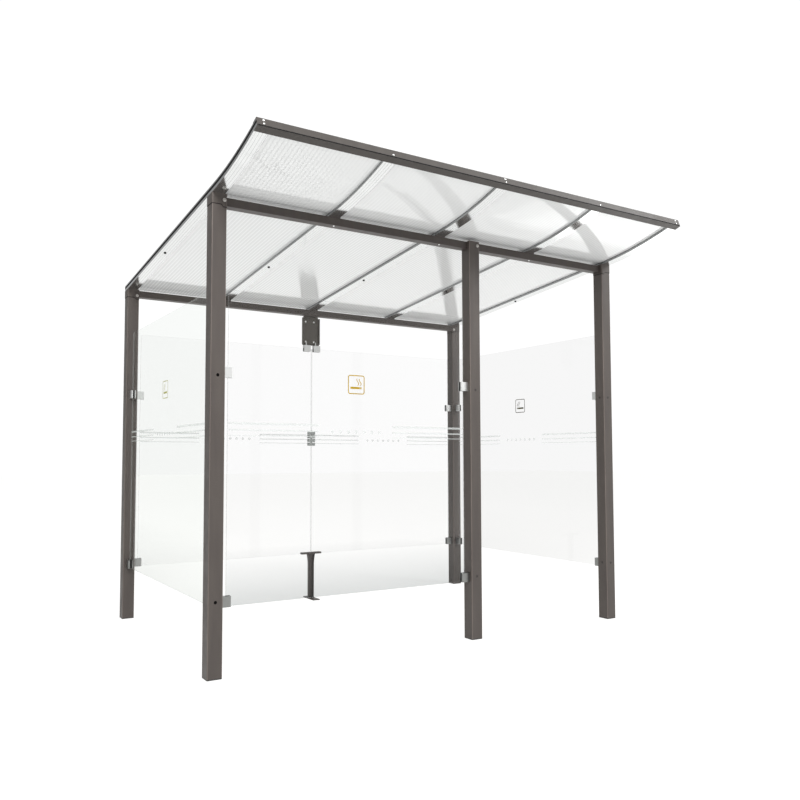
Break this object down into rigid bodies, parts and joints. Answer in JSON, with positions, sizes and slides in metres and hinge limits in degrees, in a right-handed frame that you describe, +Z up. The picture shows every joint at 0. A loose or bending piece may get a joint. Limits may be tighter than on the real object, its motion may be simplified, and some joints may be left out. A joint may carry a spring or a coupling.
{
  "type": "glazed smoking shelter",
  "caption": "Open-fronted shelter of square posts and beams with clamped glass panes and an upswept fluted roof in aluminium glazing bars.",
  "frame": {"origin": "on the ground, in the middle of the plan of everything that overhangs", "axes": "+X to the right along the open front, +Y from front to rear, +Z up"},
  "size_m": [2.573, 2.1094, 2.3105],
  "materials": {
    "post_paint": "satin grey-brown powder coat",
    "cap_paint": "satin grey-brown powder coat",
    "frame_paint": "satin grey-brown powder coat",
    "bar_aluminium": "bright satin anodised",
    "roof_polycarbonate": "opal twin-wall, glossy",
    "pane_glass": "clear toughened, polished edges",
    "clamp_metal": "satin",
    "clip_plastic": "translucent grey",
    "black_rubber": "matte black",
    "foot_plastic": "matte dark grey"
  },
  "bodies": {
    "root": {"post_front_left": "post_paint", "post_door": "post_paint", "post_front_right": "post_paint", "post_rear_left": "post_paint", "post_rear_right": "post_paint", "foot_pads": "foot_plastic", "door_post_lid": "post_paint", "cap_front_left": "cap_paint", "cap_front_right": "cap_paint", "cap_rear_left": "cap_paint", "cap_rear_right": "cap_paint", "front_beam_left": "frame_paint", "front_beam_right": "frame_paint", "rear_beam": "frame_paint", "front_saddles": "frame_paint", "rear_saddles": "frame_paint", "glazing_bar_left": "bar_aluminium", "glazing_bar_centre": "bar_aluminium", "glazing_bar_right": "bar_aluminium", "bar_gaskets": "black_rubber", "support_bar_left": "bar_aluminium", "support_bar_right": "bar_aluminium", "roof_sheet_left": "roof_polycarbonate", "roof_sheet_right": "roof_polycarbonate", "front_channel": "frame_paint", "sheet_end_trims": "bar_aluminium", "glass_front": "pane_glass", "glass_left": "pane_glass", "glass_right": "pane_glass", "glass_rear_left": "pane_glass", "glass_rear_right": "pane_glass", "clamps_front": "clamp_metal", "clamps_left": "clamp_metal", "clamps_right": "clamp_metal", "clamps_rear": "clamp_metal", "clamp_linings": "black_rubber", "hanger_plate": "frame_paint", "hanging_clamps": "clamp_metal", "joint_clip": "clip_plastic", "stand": "frame_paint", "stand_seat": "black_rubber"}
  },
  "joints": []
}
